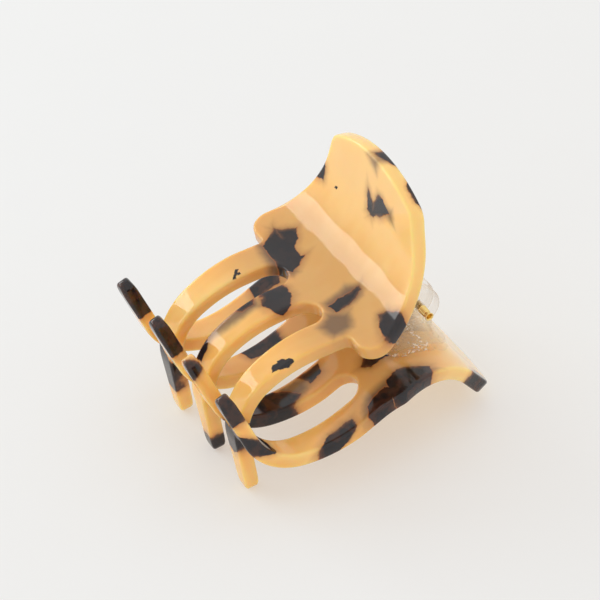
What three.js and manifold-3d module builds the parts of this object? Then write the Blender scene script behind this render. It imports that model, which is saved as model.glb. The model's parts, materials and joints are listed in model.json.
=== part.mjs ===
// A claw clip for hair: two jaws of bent acetate sheet, two clear plastic hinge brackets
// cemented inside them, a brass hinge pin and a torsion spring.
// Millimetres. X lies along the hinge pin, Y points from the claws to the handles and Z is up.
// The clip lies closed on a surface, on its upper claws and on the end of its lower handle.
import * as THREE from 'three';
import { mergeVertices } from 'three/addons/utils/BufferGeometryUtils.js';
import Module from 'manifold-3d';

const wasm = await Module();
wasm.setup();
const radians = THREE.MathUtils.degToRad;

// Acetate sheet and the side profile that both jaws share. Angles are the sheet's slope in
// degrees, seen from the side, from the line midway between the jaws.
const SHEET = 3.1;
const CLAW_ANGLE = 83;
const BELLY_ANGLE = 17.7;
const WAIST_ANGLE = -11.5;
const HANDLE_ANGLE = 68;
const CLAW_RADIUS = 12.3;
const BELLY_RADIUS = 25.8;
const HANDLE_RADIUS = 19.1;
const WAIST_LENGTH = 4.3;
const BEND_START = { u: -18.7, v: 7.5 };

// Fingers. The distance s runs along the sheet, from 0 at the start of the handle's bend.
const PITCH = 14.4;
const TIP_WIDTH = 3.6;
const MIDDLE_WIDTH = 5.3;
const ROOT_WIDTH = 7.2;
const MIDDLE_FROM_TIP = 18;
const ROOT_AT = -6;
const SLOT_END = 0.8;
const UPPER_TIP_LENGTH = 13.4;
const LOWER_TIP_LENGTH = 13;

// Shoulders and handle, as half widths and places along the sheet.
const SHOULDER = 25.2;
const SHOULDER_FRONT = 1.4;
const SHOULDER_RADIUS = 3.8;
const SHOULDER_FILLET = 1.3;
const SIDE_SLOPE_START = 21.5;
const SIDE_SLOPE_END = 14;
const ARCH_RADIUS = 32;
const ARCH_HALF_ANGLE = 27;
const CORNER_RADIUS = 4;
const UPPER_HANDLE_END = 36.9;
const LOWER_HANDLE_END = 37.9;

// Hinge hardware.
const GAP = 0.3;
const CEMENT = 0.4;
const BASE_THICKNESS = 1.2;
const BASE_HALF_WIDTH = 14.5;
const BASE_FROM = 8.6;
const BASE_TO = 21.4;
const BASE_CORNER = 3;
const CEMENT_MARGIN = 0.4;
const LOWER_LUG_RADIUS = 4.2;
const UPPER_LUG_RADIUS = 4.5;
const LUG_THICKNESS = 2.6;
const LOWER_LUG_FACE = 13.2;
const UPPER_LUG_FACE = LOWER_LUG_FACE - LUG_THICKNESS - GAP;
const ARM_FROM = 10.6;
const ARM_TO = 19.8;
const NECK = { u: 0.6, v: 6 };
const PIN_RADIUS = 0.7;
const PIN_HOLE_RADIUS = 0.9;
const PIN_HEAD_RADIUS = 1.3;
const PIN_HEAD_LENGTH = 0.8;
const PIN_END = 16.6;
const PIN_FLARE_RADIUS = 0.9;
const PIN_FLARE_LENGTH = 0.8;
const PIN_BORE_RADIUS = 0.45;
const PIN_BORE_DEPTH = 2.6;
const WIRE_RADIUS = 0.45;
const COIL_RADIUS = 1.7;
const COIL_TURNS = 7;
const COIL_HALF_LENGTH = 6.4;
const SPRING_LEG = 9;

const ARC_STEP = 6;          // degrees of bend between two stations
const OUTLINE_POINTS = 6;    // points on each arc of an outline
const ROUND_SEGMENTS = 24;

const acetate = new THREE.MeshStandardMaterial({ color: 0xe3a54e, roughness: 0.22, metalness: 0 });
const clearPlastic = new THREE.MeshStandardMaterial({ color: 0xe9dcc0, roughness: 0.15, metalness: 0 });
const cement = new THREE.MeshStandardMaterial({ color: 0xe8c78a, roughness: 0.4, metalness: 0 });
const brass = new THREE.MeshStandardMaterial({ color: 0xc79b3b, roughness: 0.25, metalness: 1 });
const springWire = new THREE.MeshStandardMaterial({ color: 0xb08a3e, roughness: 0.3, metalness: 1 });

// ---- Side profile: straight and curved pieces, from the claws' tips to the handle's end.

function curvedPiece(radius, from, to) {
  return { length: radius * Math.abs(radians(to - from)), from: radians(from), to: radians(to) };
}

function straightPiece(length, angle) {
  return { length, from: radians(angle), to: radians(angle) };
}

const handleBend = curvedPiece(HANDLE_RADIUS, WAIST_ANGLE, HANDLE_ANGLE);
const PIECES = [
  straightPiece(UPPER_TIP_LENGTH + 2, CLAW_ANGLE),
  curvedPiece(CLAW_RADIUS, CLAW_ANGLE, BELLY_ANGLE),
  curvedPiece(BELLY_RADIUS, BELLY_ANGLE, WAIST_ANGLE),
  straightPiece(WAIST_LENGTH, WAIST_ANGLE),
  handleBend,
  straightPiece(LOWER_HANDLE_END + 2 - handleBend.length, HANDLE_ANGLE),
];
const piecesBeforeBend = PIECES.slice(0, PIECES.indexOf(handleBend));
const PROFILE_START = -piecesBeforeBend.reduce((sum, piece) => sum + piece.length, 0);
const CLAW_BEND_START = PROFILE_START + PIECES[0].length;

// One piece's point at a distance from its start, in the piece's own start position.
function alongPiece(piece, distance) {
  const turn = (piece.to - piece.from) / piece.length;
  const angle = piece.from + turn * distance;
  if (turn === 0) {
    return { u: distance * Math.cos(angle), v: distance * Math.sin(angle), angle };
  }
  const u = (Math.sin(angle) - Math.sin(piece.from)) / turn;
  const v = (Math.cos(piece.from) - Math.cos(angle)) / turn;
  return { u, v, angle };
}

function walk(s) {
  const place = { u: 0, v: 0, angle: PIECES[0].from };
  let left = s - PROFILE_START;
  for (const piece of PIECES) {
    const step = alongPiece(piece, Math.min(left, piece.length));
    place.u += step.u;
    place.v += step.v;
    place.angle = step.angle;
    left -= piece.length;
    if (left <= 0) break;
  }
  return place;
}

// The sheet's middle at s, moved outwards by an offset, from the hinge pin's centre.
const bendStart = walk(0);
function profilePoint(s, offset) {
  const place = walk(s);
  return {
    u: place.u - bendStart.u + BEND_START.u - Math.sin(place.angle) * offset,
    v: place.v - bendStart.v + BEND_START.v + Math.cos(place.angle) * offset,
  };
}

// Places along the sheet where the profile or an outline needs a row of points.
function stations(from, to, extra = []) {
  const places = [from, to, ...extra];
  let start = PROFILE_START;
  for (const piece of PIECES) {
    const turn = THREE.MathUtils.radToDeg(Math.abs(piece.to - piece.from));
    const steps = Math.max(1, Math.ceil(turn / ARC_STEP));
    for (let i = 0; i <= steps; i += 1) {
      places.push(start + piece.length * i / steps);
    }
    start += piece.length;
  }
  const sorted = places.filter((s) => s >= from && s <= to).sort((a, b) => a - b);
  const needed = sorted.filter((s, i) => extra.includes(s) || i === 0 || s - sorted[i - 1] > 0.05);
  return needed.filter((s, i) => i === 0 || s - needed[i - 1] > 1e-3);
}

// ---- Solids

function toSolid(geometry) {
  const plain = geometry.clone();
  plain.deleteAttribute('normal');
  plain.deleteAttribute('uv');
  const merged = mergeVertices(plain, 1e-4);
  const vertProperties = new Float32Array(merged.attributes.position.array);
  const triVerts = new Uint32Array(merged.index.array);
  return new wasm.Manifold(new wasm.Mesh({ numProp: 3, vertProperties, triVerts }));
}

function toGeometry(solid) {
  const mesh = solid.getMesh();
  const geometry = new THREE.BufferGeometry();
  geometry.setAttribute('position', new THREE.BufferAttribute(mesh.vertProperties, 3));
  geometry.setIndex(new THREE.BufferAttribute(mesh.triVerts, 1));
  geometry.computeVertexNormals();
  return geometry;
}

// A strip of the bent sheet between two offsets from its middle. Its left and right edges
// are functions of s. It starts as a box with one row of faces between two stations.
function bentPlate(rows, inner, outer, leftAt, rightAt) {
  const count = rows.length - 1;
  const box = new THREE.BoxGeometry(1, 1, 1, count, 1, 1);
  const position = box.attributes.position;
  for (let i = 0; i < position.count; i += 1) {
    const s = rows[Math.round((position.getX(i) + 0.5) * count)];
    const { u, v } = profilePoint(s, position.getY(i) > 0 ? outer : inner);
    position.setXYZ(i, position.getZ(i) > 0 ? rightAt(s) : leftAt(s), u, v);
  }
  return toSolid(box);
}

// A flat outline in the (Y, Z) plane, extruded along X from one place to another.
function sidePlate(shape, from, to) {
  const options = { depth: to - from, bevelEnabled: false, curveSegments: ROUND_SEGMENTS / 2 };
  const geometry = new THREE.ExtrudeGeometry(shape, options);
  geometry.translate(0, 0, from);
  const zToX = new THREE.Matrix4().makeBasis(
    new THREE.Vector3(0, 1, 0), new THREE.Vector3(0, 0, 1), new THREE.Vector3(1, 0, 0));
  return toSolid(geometry.applyMatrix4(zToX));
}

// ---- Jaws

// Half width of the jaw's body and handle: points of the right-hand edge, in order of s.
function sideOutline(hasShoulder, handleEnd) {
  const path = new THREE.Path();
  const shoulderMiddle = SHOULDER_FRONT + SHOULDER_RADIUS;
  if (hasShoulder) {
    const fingerEdge = PITCH + ROOT_WIDTH / 2;
    const filletMiddle = SHOULDER_FRONT - 0.1 - SHOULDER_FILLET;
    path.moveTo(fingerEdge, filletMiddle);
    path.absarc(fingerEdge + SHOULDER_FILLET, filletMiddle, SHOULDER_FILLET, Math.PI, Math.PI / 2, true);
    path.absarc(SHOULDER - SHOULDER_RADIUS, shoulderMiddle, SHOULDER_RADIUS, -Math.PI / 2,
      radians(SIDE_SLOPE_START));
  } else {
    path.moveTo(1.5 * PITCH + ROOT_WIDTH / 2, ROOT_AT);
    path.absarc(SHOULDER - SHOULDER_RADIUS, shoulderMiddle, SHOULDER_RADIUS, 0,
      radians(SIDE_SLOPE_START));
  }
  const archCentre = handleEnd - ARCH_RADIUS;
  const toCorner = ARCH_RADIUS - CORNER_RADIUS;
  const cornerX = toCorner * Math.sin(radians(ARCH_HALF_ANGLE));
  const cornerS = archCentre + toCorner * Math.cos(radians(ARCH_HALF_ANGLE));
  const sideEnd = new THREE.Vector2(
    cornerX + CORNER_RADIUS * Math.cos(radians(SIDE_SLOPE_END)),
    cornerS + CORNER_RADIUS * Math.sin(radians(SIDE_SLOPE_END)));
  // The side runs off the shoulder and into the corner without a kink, so its control point
  // is where the two tangents cross.
  const sideStart = path.currentPoint.clone();
  const slopeStart = Math.tan(radians(SIDE_SLOPE_START));
  const slopeEnd = Math.tan(radians(SIDE_SLOPE_END));
  const widthDrop = sideStart.x - sideEnd.x - slopeEnd * (sideEnd.y - sideStart.y);
  const controlS = sideStart.y + widthDrop / (slopeStart - slopeEnd);
  const controlX = sideStart.x - slopeStart * (controlS - sideStart.y);
  path.quadraticCurveTo(controlX, controlS, sideEnd.x, sideEnd.y);
  path.absarc(cornerX, cornerS, CORNER_RADIUS, radians(SIDE_SLOPE_END), radians(90 - ARCH_HALF_ANGLE));
  path.absarc(0, archCentre, ARCH_RADIUS, radians(90 - ARCH_HALF_ANGLE), Math.PI / 2 - 0.01);
  return path.getPoints(OUTLINE_POINTS);
}

function outlineWidth(outline, s) {
  const next = outline.findIndex((point) => point.y > s);
  if (next < 0) return outline.at(-1).x;
  const a = outline[Math.max(next - 1, 0)];
  const b = outline[next];
  return THREE.MathUtils.lerp(a.x, b.x, next === 0 ? 1 : (s - a.y) / (b.y - a.y));
}

// Half the width of one finger. The tip is round, and past it the value is negative so that
// the slots on both sides of a finger meet.
function fingerHalf(s, tip) {
  const fromTip = s - tip;
  if (fromTip < 0) return -GAP;
  const toMiddle = Math.min(fromTip / MIDDLE_FROM_TIP, 1);
  const middle = tip + MIDDLE_FROM_TIP;
  const toRoot = THREE.MathUtils.clamp((s - middle) / (ROOT_AT - middle), 0, 1);
  const width = toMiddle < 1
    ? THREE.MathUtils.lerp(TIP_WIDTH, MIDDLE_WIDTH, toMiddle)
    : THREE.MathUtils.lerp(MIDDLE_WIDTH, ROOT_WIDTH, toRoot);
  const tipRadius = TIP_WIDTH / 2;
  const round = fromTip < tipRadius ? Math.sqrt(1 - (1 - fromTip / tipRadius) ** 2) : 1;
  return round * width / 2;
}

function jaw(fingerCount, tipLength, handleEnd) {
  const tip = CLAW_BEND_START - tipLength;
  const plateStart = tip - 0.6;
  const outline = sideOutline(fingerCount === 3, handleEnd);
  const outerFinger = (fingerCount - 1) / 2 * PITCH;
  const tipRows = [0, 0.03, 0.12, 0.3, 0.6, 1].map((part) => tip + part * TIP_WIDTH / 2);
  const outlineRows = outline.map((point) => point.y);
  const halfWidth = (s) => (s < outline[0].y
    ? outerFinger + fingerHalf(s, tip)
    : outlineWidth(outline, s));

  const rows = stations(plateStart, outline.at(-1).y, [...tipRows, ...outlineRows, ROOT_AT]);
  let solid = bentPlate(rows, -SHEET / 2, SHEET / 2, (s) => -halfWidth(s), halfWidth);

  const slotRadius = (PITCH - ROOT_WIDTH) / 2;
  const roundStart = SLOT_END - slotRadius;
  const slotRows = [];
  for (let i = 0; i <= 8; i += 1) {
    slotRows.push(roundStart + (slotRadius - 0.01) * Math.sin(Math.PI / 2 * i / 8));
  }
  const cutFrom = plateStart - 1;
  const cutRows = stations(cutFrom, slotRows.at(-1), [...tipRows, ...slotRows, ROOT_AT]);
  for (let i = 0; i < fingerCount - 1; i += 1) {
    const middle = (i + 0.5) * PITCH - outerFinger;
    const halfSlot = (s) => (s < roundStart
      ? PITCH / 2 - fingerHalf(s, tip)
      : Math.sqrt(slotRadius ** 2 - (s - roundStart) ** 2));
    const slot = bentPlate(cutRows, -SHEET / 2 - 1, SHEET / 2 + 1,
      (s) => middle - halfSlot(s), (s) => middle + halfSlot(s));
    solid = solid.subtract(slot);
  }
  return toGeometry(solid);
}

// ---- Hinge brackets: a curved base with round corners, and two lugs with a hole for the pin.

function padOutline(from, to, halfWidth) {
  const rounding = [0, 0.06, 0.22, 0.5, 1].map((part) => part * BASE_CORNER);
  const rows = [...rounding.map((d) => from + d), ...rounding.map((d) => to - d)];
  const widthAt = (s) => {
    const fromEnd = Math.min(s - from, to - s, BASE_CORNER);
    return halfWidth - BASE_CORNER + Math.sqrt(BASE_CORNER ** 2 - (BASE_CORNER - fromEnd) ** 2);
  };
  return { rows, widthAt };
}

function curvedPad(from, to, halfWidth, inner, outer) {
  const { rows, widthAt } = padOutline(from, to, halfWidth);
  return bentPlate(stations(from, to, rows), inner, outer, (s) => -widthAt(s), widthAt);
}

const cementOuter = -SHEET / 2 - GAP;
const cementInner = cementOuter - CEMENT;
const baseOuter = cementInner - GAP;
const baseInner = baseOuter - BASE_THICKNESS;

// A lug has a round head, a neck on its handle side and a foot that spreads to the base's end.
function lugShape(radius) {
  const front = profilePoint(ARM_FROM, baseInner + 0.5);
  const back = profilePoint(ARM_TO, baseInner + 0.5);
  const shape = new THREE.Shape();
  shape.moveTo(front.u, front.v);
  shape.lineTo(-radius * Math.cos(radians(20)), radius * Math.sin(radians(20)));
  shape.absarc(0, 0, radius, radians(160), radians(360 + 68));
  shape.lineTo(NECK.u, NECK.v);
  shape.quadraticCurveTo(NECK.u - 0.2, NECK.v + 2.2, back.u, back.v);
  for (let s = ARM_TO - 2; s > ARM_FROM; s -= 2) {
    const point = profilePoint(s, baseInner + 0.5);
    shape.lineTo(point.u, point.v);
  }
  const hole = new THREE.Path();
  hole.absarc(0, 0, PIN_HOLE_RADIUS, 0, 2 * Math.PI, true);
  shape.holes.push(hole);
  return shape;
}

function bracket(lugFace, lugRadius) {
  let solid = curvedPad(BASE_FROM, BASE_TO, BASE_HALF_WIDTH, baseInner, baseOuter);
  const shape = lugShape(lugRadius);
  for (const from of [lugFace - LUG_THICKNESS, -lugFace]) {
    solid = solid.add(sidePlate(shape, from, from + LUG_THICKNESS));
  }
  return toGeometry(solid);
}

function cementBed() {
  const bed = curvedPad(BASE_FROM - CEMENT_MARGIN, BASE_TO + CEMENT_MARGIN,
    BASE_HALF_WIDTH + CEMENT_MARGIN, cementInner, cementOuter);
  return toGeometry(bed);
}

// ---- Pin and spring

function hingePin() {
  const headStart = -LOWER_LUG_FACE - GAP - PIN_HEAD_LENGTH;
  const profile = [
    [0, headStart],
    [PIN_HEAD_RADIUS * 0.7, headStart],
    [PIN_HEAD_RADIUS, headStart + PIN_HEAD_LENGTH / 2],
    [PIN_HEAD_RADIUS, headStart + PIN_HEAD_LENGTH],
    [PIN_RADIUS, headStart + PIN_HEAD_LENGTH],
    [PIN_RADIUS, PIN_END - PIN_FLARE_LENGTH],
    [PIN_FLARE_RADIUS, PIN_END],
    [PIN_BORE_RADIUS, PIN_END],
    [PIN_BORE_RADIUS, PIN_END - PIN_BORE_DEPTH],
    [0, PIN_END - PIN_BORE_DEPTH],
  ];
  const points = profile.map(([radius, along]) => new THREE.Vector2(radius, along));
  const geometry = new THREE.LatheGeometry(points, ROUND_SEGMENTS);
  return toGeometry(toSolid(geometry.rotateZ(-Math.PI / 2)));
}

// The spring's wire: up the lower leg, round the coil and up the upper leg.
class SpringWire extends THREE.Curve {
  getPoint(t, target = new THREE.Vector3()) {
    const turnLength = 2 * Math.PI * COIL_RADIUS;
    const total = 2 * SPRING_LEG + COIL_TURNS * turnLength;
    const distance = t * total;
    const coil = THREE.MathUtils.clamp(distance - SPRING_LEG, 0, COIL_TURNS * turnLength);
    const angle = coil / COIL_RADIUS;
    const lowerLeg = Math.min(distance - SPRING_LEG, 0);
    const upperLeg = Math.max(distance - SPRING_LEG - COIL_TURNS * turnLength, 0);
    const x = COIL_HALF_LENGTH * (2 * coil / (COIL_TURNS * turnLength) - 1);
    return target.set(x, COIL_RADIUS * Math.cos(angle),
      COIL_RADIUS * Math.sin(angle) + lowerLeg + upperLeg);
  }
}

function torsionSpring() {
  const section = new THREE.Shape();
  section.absarc(0, 0, WIRE_RADIUS, 0, 2 * Math.PI);
  const steps = 14 * COIL_TURNS + 18;
  const options = { steps, extrudePath: new SpringWire(), curveSegments: 3, bevelEnabled: false };
  return toGeometry(toSolid(new THREE.ExtrudeGeometry(section, options)));
}

// ---- Assembly

function part(name, geometry, material) {
  const mesh = new THREE.Mesh(geometry, material);
  mesh.name = name;
  return mesh;
}

const upperHalf = new THREE.Group();
upperHalf.add(part('jaw_upper', jaw(3, UPPER_TIP_LENGTH, UPPER_HANDLE_END), acetate));
upperHalf.add(part('cement_upper', cementBed(), cement));
upperHalf.add(part('bracket_upper', bracket(UPPER_LUG_FACE, UPPER_LUG_RADIUS), clearPlastic));

const lowerHalf = new THREE.Group();
lowerHalf.add(part('jaw_lower', jaw(4, LOWER_TIP_LENGTH, LOWER_HANDLE_END), acetate));
lowerHalf.add(part('cement_lower', cementBed(), cement));
lowerHalf.add(part('bracket_lower', bracket(LOWER_LUG_FACE, LOWER_LUG_RADIUS), clearPlastic));
lowerHalf.rotation.y = Math.PI;

const clip = new THREE.Group();
clip.add(upperHalf, lowerHalf);
clip.add(part('hinge_pin', hingePin(), brass));
clip.add(part('torsion_spring', torsionSpring(), springWire));

// The clip rests on the upper claws' tips and on the lower handle's end, so the line through
// their lowest points is level.
const clawTip = profilePoint(CLAW_BEND_START - UPPER_TIP_LENGTH, SHEET / 2);
const handleEnd = profilePoint(LOWER_HANDLE_END, SHEET / 2);
clip.rotation.x = Math.atan2(clawTip.v + handleEnd.v, handleEnd.u - clawTip.u);

const model = new THREE.Group();
model.add(clip);
model.updateMatrixWorld(true);
const box = new THREE.Box3().setFromObject(model, true);
clip.position.set(0, -(box.min.y + box.max.y) / 2, -box.min.z);

export default model;
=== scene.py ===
# The looks of a sprung claw clip of tortoiseshell acetate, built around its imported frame.
# Blender works in metres. The sizes below are in millimetres, and MM turns them into metres.
# A place on the acetate sheet is (x, s, depth), as on the flat blank that a jaw is cut from:
# x across the clip, s along the sheet from the start of its handle bend, with the claws at
# negative s, and depth from the sheet's middle towards the outside of the clip. The near side
# is at positive x.
import json
import math
import random

import bmesh
import bpy
from mathutils import Matrix, Vector, noise


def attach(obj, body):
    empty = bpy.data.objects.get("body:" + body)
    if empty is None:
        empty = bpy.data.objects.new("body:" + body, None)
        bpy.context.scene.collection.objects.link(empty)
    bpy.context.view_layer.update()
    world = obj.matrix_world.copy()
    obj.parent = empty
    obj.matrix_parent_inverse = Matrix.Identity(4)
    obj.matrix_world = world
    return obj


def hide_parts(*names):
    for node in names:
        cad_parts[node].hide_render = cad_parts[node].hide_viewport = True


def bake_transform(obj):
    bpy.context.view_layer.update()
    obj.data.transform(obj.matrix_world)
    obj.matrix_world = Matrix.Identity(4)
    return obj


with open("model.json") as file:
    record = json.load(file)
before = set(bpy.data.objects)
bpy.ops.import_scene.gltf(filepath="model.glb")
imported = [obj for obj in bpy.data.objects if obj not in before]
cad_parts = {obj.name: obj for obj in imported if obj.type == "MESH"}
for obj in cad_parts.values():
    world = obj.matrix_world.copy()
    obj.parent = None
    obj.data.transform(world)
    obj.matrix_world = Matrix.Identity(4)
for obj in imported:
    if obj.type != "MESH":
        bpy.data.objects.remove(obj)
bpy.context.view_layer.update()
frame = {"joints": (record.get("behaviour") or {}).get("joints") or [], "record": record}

MM = 0.001

# ---- Camera

CAMERA_AZIMUTH = 64.15
CAMERA_ELEVATION = 37.18
CAMERA_ROLL = -3.17
CAMERA_DISTANCE = 900
CAMERA_LENS = 272.4
AIM_HEIGHT = 26
AIM_RIGHT = -2.85
AIM_UP = 1.35


def direction(azimuth, elevation):
    """Points from the clip to something seen at these angles in degrees."""
    azimuth = math.radians(azimuth)
    elevation = math.radians(elevation)
    return Vector((
        math.sin(azimuth) * math.cos(elevation),
        -math.cos(azimuth) * math.cos(elevation),
        math.sin(elevation),
    ))


def aim_camera():
    azimuth = math.radians(CAMERA_AZIMUTH)
    roll = math.radians(CAMERA_ROLL)
    back = direction(CAMERA_AZIMUTH, CAMERA_ELEVATION)
    level = Vector((math.cos(azimuth), math.sin(azimuth), 0))
    upright = back.cross(level)
    right = level * math.cos(roll) + upright * math.sin(roll)
    up = upright * math.cos(roll) - level * math.sin(roll)
    aim = Vector((0, 0, AIM_HEIGHT)) + right * AIM_RIGHT + up * AIM_UP
    lens = bpy.data.cameras.new("camera")
    lens.lens = CAMERA_LENS
    camera = bpy.data.objects.new("camera", lens)
    bpy.context.scene.collection.objects.link(camera)
    turn = Matrix((right, up, back)).transposed().to_4x4()
    camera.matrix_world = Matrix.Translation((aim + back * CAMERA_DISTANCE) * MM) @ turn
    bpy.context.scene.camera = camera


aim_camera()

# ---- Sizes of the sheet, as in the frame. The side profile has slopes in degrees.

SHEET = 3.1
CLAW_ANGLE = 83
BELLY_ANGLE = 17.7
WAIST_ANGLE = -11.5
HANDLE_ANGLE = 68
CLAW_STRAIGHT = 15.4
WAIST_STRAIGHT = 4.3
HANDLE_STRAIGHT = 14
CLAW_RADIUS = 12.3
BELLY_RADIUS = 25.8
HANDLE_RADIUS = 19.1
BEND_START = Vector((-18.7, 7.5))

# The outline of the flat blanks. The claws' and handles' ends differ between the two jaws.
FINGERS = {"upper": 3, "lower": 4}
CLAW_END = {"upper": 13.4, "lower": 13.0}
HANDLE_END = {"upper": 36.9, "lower": 37.9}
PITCH = 14.4
TIP_WIDTH = 3.5
MIDDLE_WIDTH = 5.3
ROOT_WIDTH = 7.2
MIDDLE_FROM_TIP = 18
ROOT_AT = -6
SLOT_END = 0.8
SLOT_RADIUS = (PITCH - ROOT_WIDTH) / 2
SHOULDER = 25.2
SHOULDER_FRONT = 1.4
SHOULDER_RADIUS = 3.8
SHOULDER_FILLET = 1.3
SIDE_SLOPE_START = 21.5
SIDE_SLOPE_END = 14
ARCH_RADIUS = 32
ARCH_HALF_ANGLE = 27
CORNER_RADIUS = 4

# The rounding of the sheet's edges and of the claws' ends, and the spacing of its rows of points.
EDGE_ROUND = 0.5
TIP_NOSE = 3.2
TIP_THINNEST = 0.55
TIP_ROWS = (0.08, 0.2, 0.36, 0.56, 0.78, 1)
RIM_BAND = 0.3
STATION_TURN = 2.5
ROUNDED_ABOVE = math.radians(50)
ROUND_SEGMENTS = 3


def straight(length, angle):
    return length, angle, angle


def bent(radius, first, last):
    return radius * math.radians(abs(last - first)), first, last


# Straight and bent pieces of the side profile: length, then slope in degrees at each end.
PROFILE = [
    straight(CLAW_STRAIGHT, CLAW_ANGLE),
    bent(CLAW_RADIUS, CLAW_ANGLE, BELLY_ANGLE),
    bent(BELLY_RADIUS, BELLY_ANGLE, WAIST_ANGLE),
    straight(WAIST_STRAIGHT, WAIST_ANGLE),
    bent(HANDLE_RADIUS, WAIST_ANGLE, HANDLE_ANGLE),
    straight(HANDLE_STRAIGHT, HANDLE_ANGLE),
]
BEND_PIECE = 4
PROFILE_START = -sum(length for length, _, _ in PROFILE[:BEND_PIECE])
CLAW_BEND_START = PROFILE_START + PROFILE[0][0]


def walk(s):
    """The sheet's middle and slope at s, from the profile's start."""
    place = Vector((0, 0))
    angle = math.radians(PROFILE[0][1])
    left = s - PROFILE_START
    for length, start, end in PROFILE:
        first = math.radians(start)
        turn = math.radians(end - start) / length
        part = min(left, length)
        angle = first + turn * part
        if turn:
            place.x += (math.sin(angle) - math.sin(first)) / turn
            place.y += (math.cos(first) - math.cos(angle)) / turn
        else:
            place += Vector((math.cos(angle), math.sin(angle))) * part
        left -= part
        if left <= 0:
            break
    return place, angle


BEND_PLACE = walk(0)[0]


def sheet_point(s, depth):
    """A point of the bent sheet, from the hinge pin: along the clip, then away from it."""
    place, angle = walk(s)
    outwards = Vector((-math.sin(angle), math.cos(angle)))
    return place - BEND_PLACE + BEND_START + outwards * depth


def stations(start, end):
    """Where the sheet needs a row of points for its bends to look round."""
    places = []
    at = PROFILE_START
    for length, first, last in PROFILE:
        steps = max(1, round(abs(last - first) / STATION_TURN))
        places += [at + length * i / steps for i in range(steps)]
        at += length
    return [s for s in places if start < s < end]


# The frame gives the hinge's place and, by the slope of the upper handle, the clip's tilt.
hinge = frame["joints"][0]
handle_mount = frame["record"]["mounts"][0]
tilt = math.atan2(handle_mount["axis"][2], handle_mount["axis"][1]) - math.radians(HANDLE_ANGLE + 90)
clip_place = Matrix.Translation(hinge["pos_m"]) @ Matrix.Rotation(tilt, 4, "X") @ Matrix.Scale(MM, 4)
HALVES = {
    "upper": clip_place,
    "lower": clip_place @ Matrix.Rotation(math.pi, 4, "Y"),
}

# ---- Mesh work


class Pen:
    """Draws a wire on the flat blank: it pulls a point along lines and spins it round arcs."""

    def __init__(self, bm, x, y):
        self.bm = bm
        self.point = bm.verts.new((x, y, 0))

    def line(self, x, y):
        grown = bmesh.ops.extrude_vert_indiv(self.bm, verts=[self.point])
        self.point = grown["verts"][0]
        self.point.co = (x, y, 0)

    def arc(self, x, y, degrees, steps):
        spun = bmesh.ops.spin(
            self.bm, geom=[self.point], cent=(x, y, 0), axis=(0, 0, 1),
            angle=math.radians(degrees), steps=steps)
        self.point = next(part for part in spun["geom_last"] if isinstance(part, bmesh.types.BMVert))

    def curve(self, control, end, steps):
        start = self.point.co.xy
        for i in range(1, steps + 1):
            t = i / steps
            place = start * (1 - t) ** 2 + Vector(control) * 2 * t * (1 - t) + Vector(end) * t * t
            self.line(place.x, place.y)


def mirror_and_fill(bm):
    """Closes a half outline, drawn on the right, into one whole face."""
    everything = bm.verts[:] + bm.edges[:]
    bmesh.ops.mirror(bm, geom=everything, matrix=Matrix.Identity(4), merge_dist=1e-4, axis="X")
    bmesh.ops.remove_doubles(bm, verts=bm.verts[:], dist=1e-4)
    bmesh.ops.contextual_create(bm, geom=bm.edges[:])


def thicken(bm, low, high):
    """Turns the flat face into a plate between two depths."""
    bmesh.ops.translate(bm, verts=bm.verts[:], vec=(0, 0, low))
    grown = bmesh.ops.extrude_face_region(bm, geom=bm.faces[:])
    top = [part for part in grown["geom"] if isinstance(part, bmesh.types.BMVert)]
    bmesh.ops.translate(bm, verts=top, vec=(0, 0, high - low))
    bmesh.ops.recalc_face_normals(bm, faces=bm.faces[:])


def round_edges(bm, size):
    """Rounds every sharp edge."""
    sharp = [edge for edge in bm.edges if edge.calc_face_angle(0) > ROUNDED_ABOVE]
    bmesh.ops.bevel(
        bm, geom=sharp, offset=size, affect="EDGES", segments=ROUND_SEGMENTS, profile=0.5,
        material=-1, clamp_overlap=True)


def cut_across(bm, places):
    """Cuts a row of points across the blank at each s."""
    for s in places:
        bmesh.ops.bisect_plane(
            bm, geom=bm.verts[:] + bm.edges[:] + bm.faces[:], dist=1e-5,
            plane_co=(0, s, 0), plane_no=(0, 1, 0))


def bend(bm, half):
    """Bends the blank to the side profile, and keeps each point's place on the flat blank."""
    side = 1 if half == "upper" else -1
    blank = bm.verts.layers.float_vector.new("blank")
    for vert in bm.verts:
        x, s, depth = vert.co
        vert[blank] = (x * side, s, depth)
        along, away = sheet_point(s, depth)
        vert.co = HALVES[half] @ Vector((x, along, away))


def pour(bm, into):
    """Moves one mesh into another."""
    mesh = bpy.data.meshes.new("poured")
    bm.to_mesh(mesh)
    bm.free()
    into.from_mesh(mesh)
    bpy.data.meshes.remove(mesh)


def melt(bm, voxel, rounds):
    """Joins overlapping shells into one skin, with soft fillets where they meet."""
    mesh = bpy.data.meshes.new("melting")
    bm.to_mesh(mesh)
    bm.free()
    holder = bpy.data.objects.new("melting", mesh)
    bpy.context.scene.collection.objects.link(holder)
    remesh = holder.modifiers.new("skin", "REMESH")
    remesh.mode = "VOXEL"
    remesh.voxel_size = voxel * MM
    smooth = holder.modifiers.new("fillets", "SMOOTH")
    smooth.factor = 0.5
    smooth.iterations = rounds
    melted = bmesh.new()
    melted.from_object(holder, bpy.context.evaluated_depsgraph_get())
    bpy.data.objects.remove(holder)
    bpy.data.meshes.remove(mesh)
    return melted


def finish_piece(bm, name, material, body, replaced):
    """Makes the piece's object, smooth, and ties it to the frame."""
    bmesh.ops.recalc_face_normals(bm, faces=bm.faces[:])
    mesh = bpy.data.meshes.new(name)
    bm.to_mesh(mesh)
    bm.free()
    mesh.shade_smooth()
    piece = bpy.data.objects.new(name, mesh)
    bpy.context.scene.collection.objects.link(piece)
    mesh.materials.append(material)
    if body:
        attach(piece, body)
    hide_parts(replaced)
    return piece


# ---- Shader work


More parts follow.
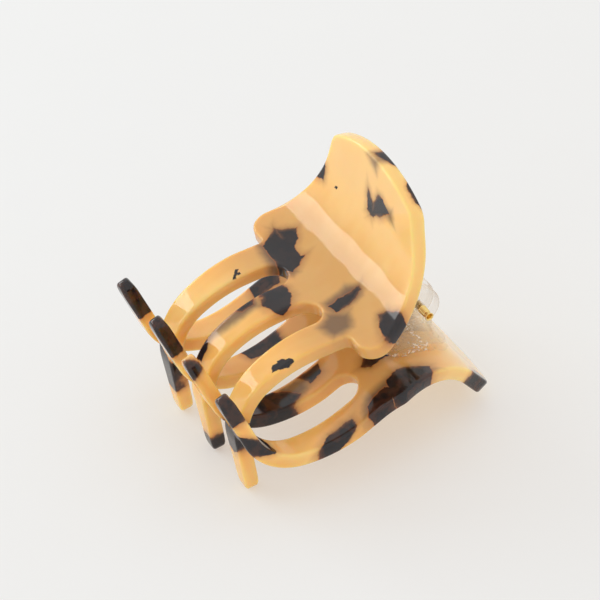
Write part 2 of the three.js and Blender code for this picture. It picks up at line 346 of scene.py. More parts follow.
class Field:
    """One output of a material's nodes. Sums with it add the nodes that work them out."""

    def __init__(self, finish, socket):
        self.finish = finish
        self.socket = socket

    def sum(self, operation, *values):
        sockets = dict(enumerate(values))
        return self.finish.node("ShaderNodeMath", {"operation": operation}, sockets)

    def __add__(self, other):
        return self.sum("ADD", self, other)

    __radd__ = __add__

    def __sub__(self, other):
        return self.sum("SUBTRACT", self, other)

    def __rsub__(self, other):
        return self.sum("SUBTRACT", other, self)

    def __mul__(self, other):
        return self.sum("MULTIPLY", self, other)

    __rmul__ = __mul__

    def least(self, other):
        return self.sum("MINIMUM", self, other)

    def most(self, other):
        return self.sum("MAXIMUM", self, other)

    def fades(self, start, end, high=1.0):
        """A smooth fall from high at start to 0 at end."""
        return self.finish.node(
            "ShaderNodeMapRange", {"interpolation_type": "SMOOTHSTEP"},
            {"Value": self, "From Min": start, "From Max": end, "To Min": high, "To Max": 0.0})


class Finish:
    """A material: one shader, and the nodes that feed it."""

    def __init__(self, name, **constants):
        self.material = bpy.data.materials.new(name)
        self.material.use_nodes = True
        tree = self.material.node_tree
        tree.nodes.clear()
        self.nodes = tree.nodes
        self.links = tree.links
        self.shader = self.nodes.new("ShaderNodeBsdfPrincipled")
        output = self.nodes.new("ShaderNodeOutputMaterial")
        self.links.new(self.shader.outputs[0], output.inputs[0])
        for socket, value in constants.items():
            self.set(socket.replace("_", " "), value)

    def node(self, kind, settings, sockets, output=0):
        made = self.nodes.new(kind)
        for setting, value in settings.items():
            setattr(made, setting, value)
        for socket, value in sockets.items():
            self.connect(made.inputs[socket], value)
        return Field(self, made.outputs[output])

    def connect(self, socket, value):
        if isinstance(value, Field):
            self.links.new(value.socket, socket)
        else:
            socket.default_value = value

    def set(self, socket, value):
        self.connect(self.shader.inputs[socket], value)

    def vector(self, operation, *values, output=0):
        sockets = dict(enumerate(values))
        return self.node("ShaderNodeVectorMath", {"operation": operation}, sockets, output)

    def blank(self):
        return self.node("ShaderNodeAttribute", {"attribute_name": "blank"}, {}, "Vector")

    def place(self):
        return self.node("ShaderNodeTexCoord", {}, {}, "Object")

    def noise(self, place, scale, detail=2.0, output=0):
        sockets = {"Vector": place, "Scale": scale, "Detail": detail}
        return self.node("ShaderNodeTexNoise", {}, sockets, output)

    def mix(self, share, first, second):
        """first where share is 0, second where it is 1."""
        sockets = {0: share, 6: first, 7: second}
        return self.node("ShaderNodeMix", {"data_type": "RGBA"}, sockets, 2)

    def bump(self, height, strength, distance):
        sockets = {"Height": height, "Strength": strength, "Distance": distance}
        self.set("Normal", self.node("ShaderNodeBump", {}, sockets))


# ---- Tortoiseshell. A chip is a dark piece pressed into the amber sheet: a convex outline of
# (x, s) corners on the face where it shows, how much it shrinks with each millimetre below
# that face, and how far it slides along x and s with each millimetre of depth.


def chip(*corners, shrink=0.0, slide=(0.0, 0.0), inside=False):
    return {"corners": corners, "shrink": shrink, "slide": slide, "inside": inside}


def lower_chip(*corners, shrink=0.0, slide=(0.0, 0.0), inside=True):
    return chip(*corners, shrink=shrink, slide=slide, inside=inside)


UPPER_CHIPS = [
    # across the far shoulder, and its two points
    chip((-19.5, 5), (-16.5, 0.5), (-8, 0), (-5.5, 1.5), (-7.5, 5.3), (-12, 5.5)),
    chip((-19, 5), (-11, 5), (-13, 7.5), (-15.5, 9)),
    chip((-9, 4.5), (-7, 4.5), (-8, 6.2)),
    # root, edge and bend of the middle claw
    chip((-4.5, -2), (-4.5, -6.5), (0, -8), (3.6, -7.2), (6.5, -6), (3.5, -3.5), (0, -1.8), shrink=1),
    chip((-4.5, -8), (-1.8, -9), (-1.6, -11.5), (-4.5, -13.5)),
    chip((-4.5, -24), (-0.6, -23.5), (-1, -20.8), (-2.5, -19.8), (-4.5, -20)),
    # beside the near slot
    chip((8.2, 2.4), (10.6, 2.8), (10.9, 6), (9.9, 10), (8.6, 10.4), (7.5, 5), shrink=0.5),
    # on the near shoulder's edge
    chip((18.5, 9.3), (21, 7.6), (26, 6.3), (27, 9), (24.5, 13.8), (21.8, 13), (19, 11), shrink=0.5),
    # two wings in the middle of the handle
    chip((-0.9, 29.4), (-0.6, 26.5), (-0.8, 24.4), (1.6, 23.8), (1.8, 27)),
    chip((1.2, 23.8), (3.2, 24.2), (5, 25.8), (8.5, 27.8), (5, 30), (3.4, 29.6), (1.7, 27.3)),
    # the handle's far edge
    chip((-21, 20.3), (-17, 20.8), (-16.4, 22), (-17.5, 24), (-18, 26.5), (-20.5, 26)),
    # claws
    chip((-20, -38), (-12, -38.5), (-11, -31), (-13, -29.5), (-20, -26.5), shrink=0.3),
    chip((-4, -47), (4, -47), (4, -41), (0.5, -40.3), (-4, -41.5)),
    chip((11, -37), (14.5, -34.6), (19, -36), (19, -27), (11, -26)),
    # in the handle's end, towards its back
    chip((-1, 34), (5, 34), (5, 39), (-1, 39), shrink=1, slide=(-1, 0), inside=True),
    chip((8.5, 33), (15, 32), (15.5, 38), (8.5, 39), shrink=2, inside=True),
]
UPPER_MARKS = [
    # a speck on the handle, a hooked mark on the far claw and a leaf on the near one
    chip((-12.8, 21.6), (-12, 21.8), (-11.8, 22.6), (-12.6, 22.4)),
    chip((-13.3, -7.2), (-11.4, -8.9), (-11.2, -8.3), (-12.9, -6.6)),
    chip((-12.2, -7.6), (-11.6, -7.7), (-11.3, -6.9), (-11.9, -6.8)),
    chip((15.5, -14), (17, -15), (18.6, -12), (18.1, -10), (16.6, -11), shrink=0.8),
    chip((15.4, -12.8), (16.6, -13.2), (17.2, -12.2), (16.2, -11.4)),
]
UPPER_SHADES = [
    chip((-17, 0), (-5, -1.8), (-5.5, 2), (-15, 3)),
    chip((-5, -22), (-2.2, -21), (-0.6, -14), (-0.9, -9), (-5, -8)),
    chip((7.2, 2.6), (10, 2.6), (10.2, 9), (8.6, 9.8), (6.6, 8)),
    chip((10.5, 1), (13, -2), (16.5, -1), (16, 3), (12.5, 4.5)),
    chip((6.5, 28), (9, 27.6), (8.5, 29)),
    chip((-0.5, 36), (1.5, 35), (2, 37)),
]
LOWER_CHIPS = [
    # third claw
    lower_chip((3, -28), (12, -28), (11, -13), (8.6, -9.6), (6.2, -11.5), (3, -16)),
    lower_chip((4.3, -7.8), (7.6, -6.3), (7, -3.2), (4.6, -2.8)),
    lower_chip((6.4, -46), (11, -46), (11, -39.5), (7.4, -40.5), shrink=0.6, inside=False),
    # near claw
    lower_chip((22.3, -7), (22.8, -11), (24.5, -14), (27, -15), (27, -5), (22.5, -5),
               shrink=0.6, slide=(0, -1.3)),
    lower_chip((19, -47), (25, -47), (25, -37), (23, -36.6), (21, -37.4), (19, -37)),
    lower_chip((18, -31), (26, -31.5), (26, -26), (23, -24.5), (21, -25.5), (19.5, -27), slide=(0, -1.4)),
    # near edge of the body
    lower_chip((21, 3.9), (22.4, -0.8), (27, -3), (27, 2.5), (22.5, 5)),
    lower_chip((18.3, 9.4), (18.2, 7.7), (19.7, 4.8), (27, 3.2), (27, 12.5), (23.5, 13.2), (20.5, 15.8)),
    lower_chip((9.2, 6.4), (12.6, 2.9), (14.3, 4.4), (13.5, 8.5), (10, 9)),
    # near corner of the handle
    lower_chip((9, 38.5), (8, 36.5), (12, 32), (18, 26), (22, 27), (19, 32), (14, 36), (14, 39)),
    lower_chip((16.5, 38), (17.3, 34), (21, 33), (20, 38)),
    # second and first claws
    lower_chip((-11, -14), (-7, -12.5), (-6.3, -5), (-11, -4.5)),
    lower_chip((-26, -3), (-21, -3.5), (-20.5, 2.5), (-24, 4)),
    lower_chip((-25, -47), (-19, -47), (-19, -35.5), (-22, -36), (-25, -37)),
    lower_chip((-10, -47), (-4, -47), (-4, -33.5), (-6.5, -37), (-10, -41)),
]
LOWER_MARKS = [
    # at the inner end of the near slot
    lower_chip((13.8, -2.4), (15.2, -2), (14.8, -0.6), (14, -0.8)),
]
LOWER_SHADES = [
    lower_chip((19.5, 7), (21, 0), (24, -2), (23, 5), (21, 12)),
    lower_chip((5, -14), (8.5, -12), (8, -8), (6, -7.3), (4.5, -9)),
]


def chip_distance(finish, place, spec):
    """How far a place is outside one chip, in millimetres."""
    corners = [Vector(corner) for corner in spec["corners"]]
    middle = sum(corners, Vector((0, 0))) / len(corners)
    face = -SHEET / 2 if spec["inside"] else SHEET / 2
    inwards = 1 if spec["inside"] else -1
    distance = None
    for first, second in zip(corners, corners[1:] + corners[:1]):
        edge = (second - first).normalized()
        outwards = Vector((edge.y, -edge.x))
        if outwards.dot(first - middle) < 0:
            outwards = -outwards
        lean = spec["shrink"] * inwards - outwards.dot(Vector(spec["slide"]))
        slope = (outwards.x, outwards.y, lean)
        side = finish.vector("DOT_PRODUCT", place, slope, output=1)
        side = side - (outwards.dot(first) + lean * face)
        distance = side if distance is None else distance.most(side)
    return distance


def nearest(finish, place, chips):
    """How far a place is outside the nearest of these chips, in millimetres."""
    distance = chip_distance(finish, place, chips[0])
    for spec in chips[1:]:
        distance = distance.least(chip_distance(finish, place, spec))
    return distance


STREAK_STRETCH = (0.13, 0.08, 0.2)
AMBER = (0.84, 0.49, 0.14, 1)
PALE_AMBER = (0.88, 0.58, 0.21, 1)
# Painted shade and light: a darker amber for the shaded body, a brighter one for the backlit handle.
SHADED_BODY_AMBER = (0.62, 0.35, 0.115, 1)
BACKLIT_HANDLE_AMBER = (0.93, 0.64, 0.25, 1)
HALO = (0.34, 0.15, 0.05, 1)
FRINGE = (0.50, 0.16, 0.04, 1)
SMOKE = (0.13, 0.072, 0.048, 1)
WARM_BROWN = (0.075, 0.024, 0.012, 1)
NEARLY_BLACK = (0.012, 0.009, 0.011, 1)


def push_about(finish, place, scale, detail, reach):
    """Moves a place about by noise, by at most half of reach each way."""
    swing = finish.noise(place, scale, detail, output=1)
    centred = finish.vector("SUBTRACT", swing, (0.5, 0.5, 0.5))
    return finish.vector("MULTIPLY", centred, reach)


def amber(finish, blank, softly, body_shade):
    """The amber's colour: streaks, painted shade on the body and painted light on the backlit handle."""
    streaks = finish.node("ShaderNodeMapping", {}, {"Vector": blank, "Scale": STREAK_STRETCH})
    cloud = finish.noise(streaks, 1.0)
    colour = finish.mix(cloud.fades(0.35, 0.65), AMBER, PALE_AMBER)
    along = finish.node("ShaderNodeSeparateXYZ", {}, {"Vector": softly}, 1)
    # Painted shade: the body is darker, as less light comes through it from beneath.
    body = along.fades(11, 20) * along.fades(-2, -14)
    colour = finish.mix(body * body_shade, colour, SHADED_BODY_AMBER)
    # Painted light: the handle is brighter, as if lit through from behind.
    return finish.mix(along.fades(26, 12, 0.85), colour, BACKLIT_HANDLE_AMBER)


def tortoiseshell(name, chips, marks, shades, body_shade, browning):
    finish = Finish(
        name, IOR=1.49, Subsurface_Weight=1.0, Subsurface_Scale=4 * MM,
        Subsurface_Radius=(1.0, 0.62, 0.35))
    blank = finish.blank()
    softly = finish.vector("ADD", blank, push_about(finish, blank, 0.35, 2.0, (1.3, 1.3, 0.8)))
    ragged = finish.vector("ADD", softly, push_about(finish, blank, 1.3, 3.0, (0.45, 0.45, 0.45)))
    crisp = nearest(finish, ragged, chips)
    mark = nearest(finish, ragged, marks)
    shade = nearest(finish, softly, shades)
    # Some sides of a chip lie deep in the amber, and look soft.
    deep = finish.noise(blank, 0.15, 1.0).fades(0.40, 0.52, 0.6)
    chip_mask = crisp.fades(-0.12, 0.14) * (1 - deep) + crisp.fades(-0.9, 1.0) * deep
    # Each chip has a dim halo and a thin red fringe, and the shades are chips far below.
    colour = amber(finish, blank, softly, body_shade)
    colour = finish.mix(crisp.fades(-0.4, 2.2, 0.5), colour, HALO)
    colour = finish.mix(shade.fades(-0.9, 1.9, 0.8), colour, SMOKE)
    colour = finish.mix(crisp.fades(0.0, 0.35, 0.7), colour, FRINGE)
    patch = finish.noise(blank, 0.42)
    dark = finish.mix(patch.fades(0.62, 0.42, browning), NEARLY_BLACK, WARM_BROWN)
    colour = finish.mix(chip_mask, colour, dark)
    colour = finish.mix(mark.fades(-0.08, 0.1), colour, NEARLY_BLACK)
    finish.set("Base Color", colour)
    finish.set("Roughness", 0.03 + 0.08 * finish.noise(finish.place(), 900.0, 3.0))
    finish.bump(finish.noise(finish.place(), 95.0, 1.0), 0.8, 0.22 * MM)
    return finish.material


# ---- Jaws, cut as flat blanks with rounded edges and then bent


def finger(pen, middle, tip):
    """One claw, from its left root round its tip to its right root."""
    round_start = tip + TIP_WIDTH / 2
    pen.line(middle - ROOT_WIDTH / 2, ROOT_AT)
    pen.line(middle - MIDDLE_WIDTH / 2, tip + MIDDLE_FROM_TIP)
    pen.line(middle - TIP_WIDTH / 2, round_start)
    pen.arc(middle, round_start, 180, 14)
    pen.line(middle + MIDDLE_WIDTH / 2, tip + MIDDLE_FROM_TIP)
    pen.line(middle + ROOT_WIDTH / 2, ROOT_AT)


def handle_outline(pen, handle_end):
    """The side, corner and arched end, from the shoulder to the middle of the end."""
    slope_start = math.tan(math.radians(SIDE_SLOPE_START))
    slope_end = math.tan(math.radians(SIDE_SLOPE_END))
    arch_middle = handle_end - ARCH_RADIUS
    to_corner = ARCH_RADIUS - CORNER_RADIUS
    corner_x = to_corner * math.sin(math.radians(ARCH_HALF_ANGLE))
    corner_s = arch_middle + to_corner * math.cos(math.radians(ARCH_HALF_ANGLE))
    start = pen.point.co.xy
    end = Vector((
        corner_x + CORNER_RADIUS * math.cos(math.radians(SIDE_SLOPE_END)),
        corner_s + CORNER_RADIUS * math.sin(math.radians(SIDE_SLOPE_END)),
    ))
    # The side leaves the shoulder and meets the corner along their own directions.
    drop = start.x - end.x - slope_end * (end.y - start.y)
    control_s = start.y + drop / (slope_start - slope_end)
    control_x = start.x - slope_start * (control_s - start.y)
    pen.curve((control_x, control_s), end, 10)
    pen.arc(corner_x, corner_s, 90 - ARCH_HALF_ANGLE - SIDE_SLOPE_END, 8)
    pen.arc(0, arch_middle, ARCH_HALF_ANGLE, 10)


def jaw_outline(bm, half, tip):
    """The right half of a jaw's blank, from its middle finger or slot to its handle's end."""
    slot_middle = SLOT_END - SLOT_RADIUS
    if FINGERS[half] % 2:
        pen = Pen(bm, 0, tip)
        pen.arc(0, tip + TIP_WIDTH / 2, 90, 7)
        pen.line(MIDDLE_WIDTH / 2, tip + MIDDLE_FROM_TIP)
        pen.line(ROOT_WIDTH / 2, ROOT_AT)
        middle = 0
    else:
        pen = Pen(bm, 0, SLOT_END)
        pen.arc(0, slot_middle, -90, 8)
        middle = PITCH / 2
        finger(pen, middle, tip)
    while middle < (FINGERS[half] - 1) / 2 * PITCH:
        pen.line(middle + ROOT_WIDTH / 2, slot_middle)
        pen.arc(middle + PITCH / 2, slot_middle, -180, 16)
        middle += PITCH
        finger(pen, middle, tip)
    shoulder_middle = SHOULDER_FRONT + SHOULDER_RADIUS
    if half == "upper":
        edge = middle + ROOT_WIDTH / 2
        fillet_s = SHOULDER_FRONT - SHOULDER_FILLET
        pen.line(edge, fillet_s)
        pen.arc(edge + SHOULDER_FILLET, fillet_s, -90, 6)
        pen.line(SHOULDER - SHOULDER_RADIUS, SHOULDER_FRONT)
        pen.arc(SHOULDER - SHOULDER_RADIUS, shoulder_middle, 90 + SIDE_SLOPE_START, 12)
    else:
        pen.line(SHOULDER, shoulder_middle)
        pen.arc(SHOULDER - SHOULDER_RADIUS, shoulder_middle, SIDE_SLOPE_START, 3)
    handle_outline(pen, HANDLE_END[half])


def thin_tips(bm, tip):
    """Thins the claws towards their ends, so that they are round from the side as well."""
    for vert in bm.verts:
        reach = min((vert.co.y - tip) / TIP_NOSE, 1)
        fullness = math.sqrt(max(1 - (1 - reach) ** 2, 0))
        vert.co.z *= TIP_THINNEST + (1 - TIP_THINNEST) * fullness


def make_jaw(half, material):
    bm = bmesh.new()
    tip = CLAW_BEND_START - CLAW_END[half]
    jaw_outline(bm, half, tip)
    mirror_and_fill(bm)
    thicken(bm, -SHEET / 2, SHEET / 2)
    round_edges(bm, EDGE_ROUND)
    flat = [face for face in bm.faces if abs(face.normal.z) > 0.999]
    bmesh.ops.inset_individual(bm, faces=flat, thickness=RIM_BAND, use_even_offset=True)
    nose_rows = [tip + TIP_NOSE * part for part in TIP_ROWS]
    cut_across(bm, nose_rows + stations(tip, HANDLE_END[half]))
    thin_tips(bm, tip)
    bend(bm, half)
    node = "jaw_" + half
    finish_piece(bm, node + "_sheet", material, half + "_half", node)


# Each jaw's body is darkened by painted shade, by the amount given here.
make_jaw("upper", tortoiseshell(
    "upper tortoiseshell", UPPER_CHIPS, UPPER_MARKS, UPPER_SHADES, body_shade=0.75, browning=0.1))
make_jaw("lower", tortoiseshell(
    "lower tortoiseshell", LOWER_CHIPS, LOWER_MARKS, LOWER_SHADES, body_shade=0.6, browning=0.55))

# ---- Hinge brackets in clear plastic, and the cement that holds them

CEMENT = 0.4
GAP = 0.3
BASE_THICKNESS = 1.2
BASE_FRONT_WIDTH = 14.5
BASE_BACK_WIDTH = 13.2
BASE_FROM = 8.6
BASE_TO = 21.4
BASE_CORNER = 2.6
BASE_ROUND = 0.35
LUG_RADIUS = {"upper": 4.5, "lower": 4.2}
LUG_FACE = {"upper": 10.3, "lower": 13.2}
LUG_THICKNESS = 2.6
LUG_FRONT = 10.6
LUG_BACK = 19.8
LUG_FOOT_ROWS = (18, 16, 14, 12)
LUG_HEAD_START = math.radians(160)
LUG_HEAD_TURN = 268
LUG_EDGE = 0.75
LUG_ROUNDED_ABOVE = math.radians(57)
NECK = (0.6, 6.0)
NECK_CONTROL = (0.4, 8.2)
PIN_HOLE_RADIUS = 0.9
BASE_OUTER = -SHEET / 2 - 2 * GAP - CEMENT
BASE_INNER = BASE_OUTER - BASE_THICKNESS
BASE_MIDDLE = BASE_INNER + BASE_THICKNESS / 2
BRACKET_SKIN = 0.16
BRACKET_SMOOTHING = 6
CEMENT_SPREAD = 0.7
CEMENT_REACH = 1.6
CEMENT_ROUND = 0.3
CEMENT_SKIN = 0.15
CEMENT_SMOOTHING = 1
CEMENT_SEED = {"upper": 3, "lower": 4}
CEMENT_OVERLAP = 0.25
CEMENT_CLEARANCE = 0.02
WAVE_SCALE = 0.5
WAVE_SIZE = 0.55
RIPPLE_SCALE = 1.7
RIPPLE_SIZE = 0.3
BUBBLES = 170
BUBBLE_SMALLEST = 0.12
BUBBLE_LARGEST = 0.34


def pad_outline(bm, margin):
    """The base's rounded outline on the blank, grown by a margin."""
    start = BASE_FROM - margin
    end = BASE_TO + margin
    corner = BASE_CORNER + margin
    front = BASE_FRONT_WIDTH + margin
    back = BASE_BACK_WIDTH + margin
    pen = Pen(bm, 0, start)
    pen.line(front - corner, start)
    pen.arc(front - corner, start + corner, 90, 8)
    pen.line(back, end - corner)
    pen.arc(back - corner, end - corner, 90, 8)
    pen.line(0, end)
    mirror_and_fill(bm)


def lug(half, low, high):
    """A lug between two places across the clip: a head round the pin, a neck and a foot."""
    bm = bmesh.new()
    radius = LUG_RADIUS[half]
    front = sheet_point(LUG_FRONT, BASE_MIDDLE)
    back = sheet_point(LUG_BACK, BASE_MIDDLE)
    pen = Pen(bm, front.x, front.y)
    pen.line(radius * math.cos(LUG_HEAD_START), radius * math.sin(LUG_HEAD_START))
    pen.arc(0, 0, LUG_HEAD_TURN, 40)
    pen.line(*NECK)
    pen.curve(NECK_CONTROL, back, 8)
    for s in LUG_FOOT_ROWS:
        pen.line(*sheet_point(s, BASE_MIDDLE))
    pen.line(front.x, front.y)
    bmesh.ops.remove_doubles(bm, verts=bm.verts[:], dist=1e-4)
    bmesh.ops.create_circle(bm, segments=24, radius=PIN_HOLE_RADIUS)
    bmesh.ops.triangle_fill(bm, use_beauty=True, edges=bm.edges[:])
    thicken(bm, low, high)
    rim = [
        edge for edge in bm.edges
        if edge.calc_face_angle(0) > LUG_ROUNDED_ABOVE
        and edge.verts[0].co.xy.length > PIN_HOLE_RADIUS + GAP
    ]
    bmesh.ops.bevel(
        bm, geom=rim, offset=LUG_EDGE, affect="EDGES", segments=4, profile=0.5, material=-1,
        clamp_overlap=True)
    for vert in bm.verts:
        along, away, x = vert.co
        vert.co = HALVES[half] @ Vector((x, along, away))
    return bm


def make_bracket(half, material):
    bm = bmesh.new()
    pad_outline(bm, 0)
    thicken(bm, BASE_INNER, BASE_OUTER)
    round_edges(bm, BASE_ROUND)
    cut_across(bm, stations(BASE_FROM, BASE_TO))
    bend(bm, half)
    face = LUG_FACE[half]
    for low in (face - LUG_THICKNESS, -face):
        pour(lug(half, low, low + LUG_THICKNESS), bm)
    node = "bracket_" + half
    bm = melt(bm, BRACKET_SKIN, BRACKET_SMOOTHING)
    finish_piece(bm, node + "_moulding", material, half + "_half", node)


def round_the_base(place):
    """Which way a place lies from the base's middle, for putting places in order."""
    return math.atan2(place.x, place.y - (BASE_FROM + BASE_TO) / 2)


def make_cement(half, material):
    """Cement squeezed out round the base, with an uneven edge full of bubbles."""
    seed = CEMENT_SEED[half]
    draw = random.Random(seed)
    noise.seed_set(seed)
    bm = bmesh.new()
    pad_outline(bm, CEMENT_SPREAD)
    bmesh.ops.subdivide_edges(bm, edges=bm.edges[:], cuts=5)
    for vert in bm.verts:
        wave = noise.noise_vector(vert.co * WAVE_SCALE + Vector((seed, 0, 0)))
        ripple = noise.noise_vector(vert.co * RIPPLE_SCALE + Vector((0, seed, 0)))
        vert.co.xy += (wave * WAVE_SIZE + ripple * RIPPLE_SIZE).xy
    # The operators leave the points in any order, and the draws need one that never changes.
    edge = sorted((vert.co.copy() for vert in bm.verts), key=round_the_base)
    thicken(bm, BASE_OUTER - CEMENT_OVERLAP, -SHEET / 2 - CEMENT_CLEARANCE)
    round_edges(bm, CEMENT_ROUND)
    cut_across(bm, stations(BASE_FROM - CEMENT_REACH, BASE_TO + CEMENT_REACH))
    for _ in range(BUBBLES):
        place = draw.choice(edge) * draw.uniform(0.965, 1.0)
        radius = draw.uniform(BUBBLE_SMALLEST, BUBBLE_LARGEST)
        depth = draw.uniform(BASE_OUTER - 0.1, -SHEET / 2 - radius)
        bubble = Matrix.Translation((place.x, place.y, depth))
        bmesh.ops.create_icosphere(bm, subdivisions=1, radius=radius, matrix=bubble)
    bend(bm, half)
    node = "cement_" + half
    bm = melt(bm, CEMENT_SKIN, CEMENT_SMOOTHING)
    finish_piece(bm, node + "_bed", material, half + "_half", node)


CLEAR = (1.0, 0.88, 0.66, 1)
YELLOWED = (0.90, 0.68, 0.38, 1)
# Painted shade for where the plastic is seen edge-on.
PLASTIC_EDGE_ON_SHADE = (0.66, 0.46, 0.24, 1)
PALE_CEMENT = (1.0, 0.76, 0.42, 1)
DEEP_CEMENT = (0.88, 0.54, 0.20, 1)
FROTH = (1.0, 0.96, 0.88, 1)


def clear_plastic():
    finish = Finish("clear plastic", IOR=1.49, Specular_IOR_Level=0.4)
    place = finish.place()
    cloud = finish.noise(place, 260.0, 3.0)
    # Painted shade: seen edge-on, the plastic turns darker amber and more opaque.
    rim = finish.node("ShaderNodeLayerWeight", {}, {"Blend": 0.35}, "Facing")
    body = finish.mix(cloud, CLEAR, YELLOWED)
    finish.set("Base Color", finish.mix(rim, body, PLASTIC_EDGE_ON_SHADE))
    finish.set("Roughness", 0.05 + 0.1 * cloud)
    finish.set("Alpha", 0.02 + 0.07 * cloud + 0.85 * rim * rim)
    finish.bump(cloud, 0.15, 0.3 * MM)
    return finish.material


def clear_cement():
    finish = Finish("clear cement", IOR=1.47, Specular_IOR_Level=0.3)
    place = finish.place()
    cloud = finish.noise(place, 500.0, 3.0)
    thick = finish.noise(place, 220.0, 1.0).fades(0.66, 0.38)
    froth = finish.noise(place, 1300.0, 2.0).fades(0.63, 0.52) * thick
    colour = finish.mix(cloud, PALE_CEMENT, DEEP_CEMENT)
    finish.set("Base Color", finish.mix(froth, colour, FROTH))
    finish.set("Roughness", 0.08 + 0.25 * cloud)
    finish.set("Alpha", (0.05 + 0.12 * cloud + 0.7 * froth).least(1.0))
    finish.bump(finish.noise(place, 1100.0, 3.0), 0.8, 0.25 * MM)
    return finish.material


plastic = clear_plastic()
cement = clear_cement()
for half in HALVES:
    make_bracket(half, plastic)
    make_cement(half, cement)

# ---- Brass hinge pin: a rivet with a head at one end and a ribbed, flared tube at the other

PIN_RADIUS = 0.7
PIN_HEAD_RADIUS = 1.3
PIN_HEAD_LENGTH = 0.8
PIN_HEAD_START = -LUG_FACE["lower"] - GAP - PIN_HEAD_LENGTH
PIN_END = 16.6
PIN_FLARE_RADIUS = 0.9
PIN_BORE_RADIUS = 0.5
PIN_BORE_DEPTH = 2.6
PIN_RIBS_FROM = 13.4
PIN_RIB = 0.42
PIN_RIB_BULGE = 0.4
PIN_RIB_DIP = 0.1
PIN_RIBS = 5
BRASS = (0.95, 0.74, 0.32, 1)
TARNISHED_BRASS = (0.82, 0.56, 0.18, 1)


def make_pin(material):
    bm = bmesh.new()
    under_head = PIN_HEAD_START + PIN_HEAD_LENGTH
    pen = Pen(bm, PIN_HEAD_START, 0)
    pen.line(PIN_HEAD_START, PIN_HEAD_RADIUS * 0.45)
    pen.curve((PIN_HEAD_START, PIN_HEAD_RADIUS), (under_head - 0.25, PIN_HEAD_RADIUS), 6)
    pen.line(under_head, PIN_HEAD_RADIUS - 0.1)
    pen.line(under_head, PIN_RADIUS)
    pen.line(PIN_RIBS_FROM, PIN_RADIUS)
    for i in range(PIN_RIBS):
        start = PIN_RIBS_FROM + i * PIN_RIB
        bulge = (start + PIN_RIB / 2, PIN_RADIUS + PIN_RIB_BULGE)
        pen.curve(bulge, (start + PIN_RIB, PIN_RADIUS - PIN_RIB_DIP), 6)
    flare_start = PIN_RIBS_FROM + PIN_RIBS * PIN_RIB
    pen.line(flare_start + 0.15, PIN_RADIUS - 0.06)
    pen.curve((PIN_END - 0.45, PIN_RADIUS), (PIN_END - 0.12, PIN_FLARE_RADIUS), 6)
    pen.curve((PIN_END, PIN_FLARE_RADIUS), (PIN_END, PIN_FLARE_RADIUS - 0.12), 3)
    pen.curve((PIN_END - 0.05, PIN_BORE_RADIUS + 0.1), (PIN_END - 0.4, PIN_BORE_RADIUS), 5)
    pen.line(PIN_END - PIN_BORE_DEPTH, PIN_BORE_RADIUS)
    pen.line(PIN_END - PIN_BORE_DEPTH, 0)
    bmesh.ops.spin(
        bm, geom=bm.verts[:] + bm.edges[:], cent=(0, 0, 0), axis=(1, 0, 0),
        angle=2 * math.pi, steps=40, use_merge=True)
    bmesh.ops.remove_doubles(bm, verts=bm.verts[:], dist=1e-4)
    bmesh.ops.transform(bm, matrix=clip_place, verts=bm.verts[:])
    finish_piece(bm, "hinge_pin_rivet", material, "lower_half", "hinge_pin")


def brass():
    finish = Finish("bright brass", Metallic=1.0)
    place = finish.place()
    tarnish = finish.noise(place, 700.0, 3.0)
    finish.set("Base Color", finish.mix(tarnish, BRASS, TARNISHED_BRASS))
    finish.set("Roughness", 0.14 + 0.2 * tarnish)
    finish.bump(finish.noise(place, 4000.0, 2.0), 0.2, 0.03 * MM)
    return finish.material


make_pin(brass())

# ---- Torsion spring: its coil lies round the pin and a leg presses on each bracket

WIRE_RADIUS = 0.45
COIL_RADIUS = 1.7
COIL_TURNS = 7
COIL_HALF_LENGTH = 6.4
COIL_STEPS = 24 * COIL_TURNS
SPRING_LEG = 8.6
WIRE_COLOUR = (0.80, 0.63, 0.32, 1)
SCRATCHED_WIRE = (0.62, 0.46, 0.22, 1)


def leg(bm, loop, reach):
    """Draws one open end of the wire out straight, and closes it."""
    grown = bmesh.ops.extrude_edge_only(bm, edges=loop)["geom"]
    tip = [part for part in grown if isinstance(part, bmesh.types.BMVert)]
    bmesh.ops.translate(bm, verts=tip, vec=(0, 0, reach))
    rim = [part for part in grown if isinstance(part, bmesh.types.BMEdge) and part.is_boundary]
    bmesh.ops.contextual_create(bm, geom=rim)


def make_spring(material):
    bm = bmesh.new()
    start = Matrix.Translation((-COIL_HALF_LENGTH, COIL_RADIUS, 0))
    bmesh.ops.create_circle(bm, segments=12, radius=WIRE_RADIUS, matrix=start)
    first = bm.edges[:]
    coil = bmesh.ops.spin(
        bm, geom=bm.verts[:] + first, cent=(0, 0, 0), axis=(1, 0, 0),
        dvec=(2 * COIL_HALF_LENGTH / COIL_STEPS, 0, 0), angle=2 * math.pi * COIL_TURNS,
        steps=COIL_STEPS)
    last = [part for part in coil["geom_last"] if isinstance(part, bmesh.types.BMEdge)]
    leg(bm, first, -SPRING_LEG)
    leg(bm, last, SPRING_LEG)
    bmesh.ops.transform(bm, matrix=clip_place, verts=bm.verts[:])
    spring = finish_piece(bm, "torsion_spring_wire", material, None, "torsion_spring")
    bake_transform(spring)


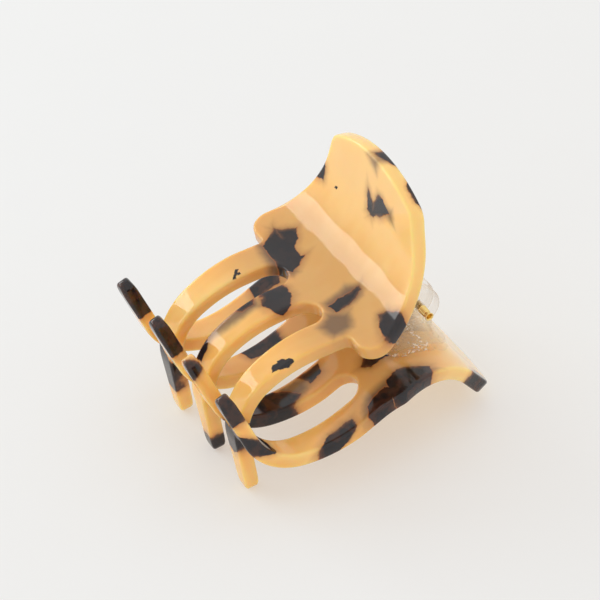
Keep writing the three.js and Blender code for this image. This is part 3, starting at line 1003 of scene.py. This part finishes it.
def drawn_wire():
    finish = Finish("drawn spring wire", Metallic=1.0)
    place = finish.place()
    scratches = finish.noise(place, 2500.0, 3.0)
    finish.set("Base Color", finish.mix(scratches, WIRE_COLOUR, SCRATCHED_WIRE))
    finish.set("Roughness", 0.22 + 0.2 * scratches)
    finish.bump(scratches, 0.15, 0.03 * MM)
    return finish.material


make_spring(drawn_wire())

# ---- Floor and light

FLOOR_SIZE = 2.4
# Painted light: the floor glows, lightening the clip's shadows; warm glow over bluish paper makes them
# warm.
FLOOR_COLOUR = (0.355, 0.445, 0.505, 1)
FLOOR_GLOW = (0.50, 0.405, 0.335, 1)
WORLD_COLOUR = (1, 0.995, 0.985, 1)
WORLD_STRENGTH = 0.95


def make_floor():
    bm = bmesh.new()
    bmesh.ops.create_grid(bm, x_segments=8, y_segments=8, size=FLOOR_SIZE / 2)
    mesh = bpy.data.meshes.new("floor")
    bm.to_mesh(mesh)
    bm.free()
    floor = bpy.data.objects.new("floor", mesh)
    bpy.context.scene.collection.objects.link(floor)
    # The glow is painted light, which lightens and warms the shadows on the paper.
    paper = Finish(
        "lit paper", Roughness=0.7, Specular_IOR_Level=0.0,
        Emission_Color=FLOOR_GLOW, Emission_Strength=1.0)
    grain = paper.noise(paper.place(), 60.0, 3.0)
    paper.set("Base Color", paper.mix(grain, FLOOR_COLOUR, tuple(0.98 * c for c in FLOOR_COLOUR)))
    mesh.materials.append(paper.material)


def softbox(name, azimuth, elevation, distance, width, height, radiance):
    """A soft light that faces the clip, sized in metres."""
    light = bpy.data.lights.new(name, "AREA")
    light.shape = "RECTANGLE"
    light.size = width
    light.size_y = height
    light.energy = radiance * math.pi * width * height
    back = direction(azimuth, elevation)
    lamp = bpy.data.objects.new(name, light)
    lamp.matrix_world = (
        Matrix.Translation(Vector((0, 0, AIM_HEIGHT * MM)) + back * distance)
        @ back.to_track_quat("Z", "Y").to_matrix().to_4x4())
    bpy.context.scene.collection.objects.link(lamp)


def light_studio():
    world = bpy.data.worlds.new("studio")
    world.use_nodes = True
    background = world.node_tree.nodes["Background"]
    background.inputs["Color"].default_value = WORLD_COLOUR
    background.inputs["Strength"].default_value = WORLD_STRENGTH
    bpy.context.scene.world = world
    softbox(
        "left softbox", azimuth=-56, elevation=22.5, distance=0.7, width=0.6, height=0.23,
        radiance=3.2)
    bpy.context.scene.view_settings.view_transform = "Standard"


make_floor()
light_studio()
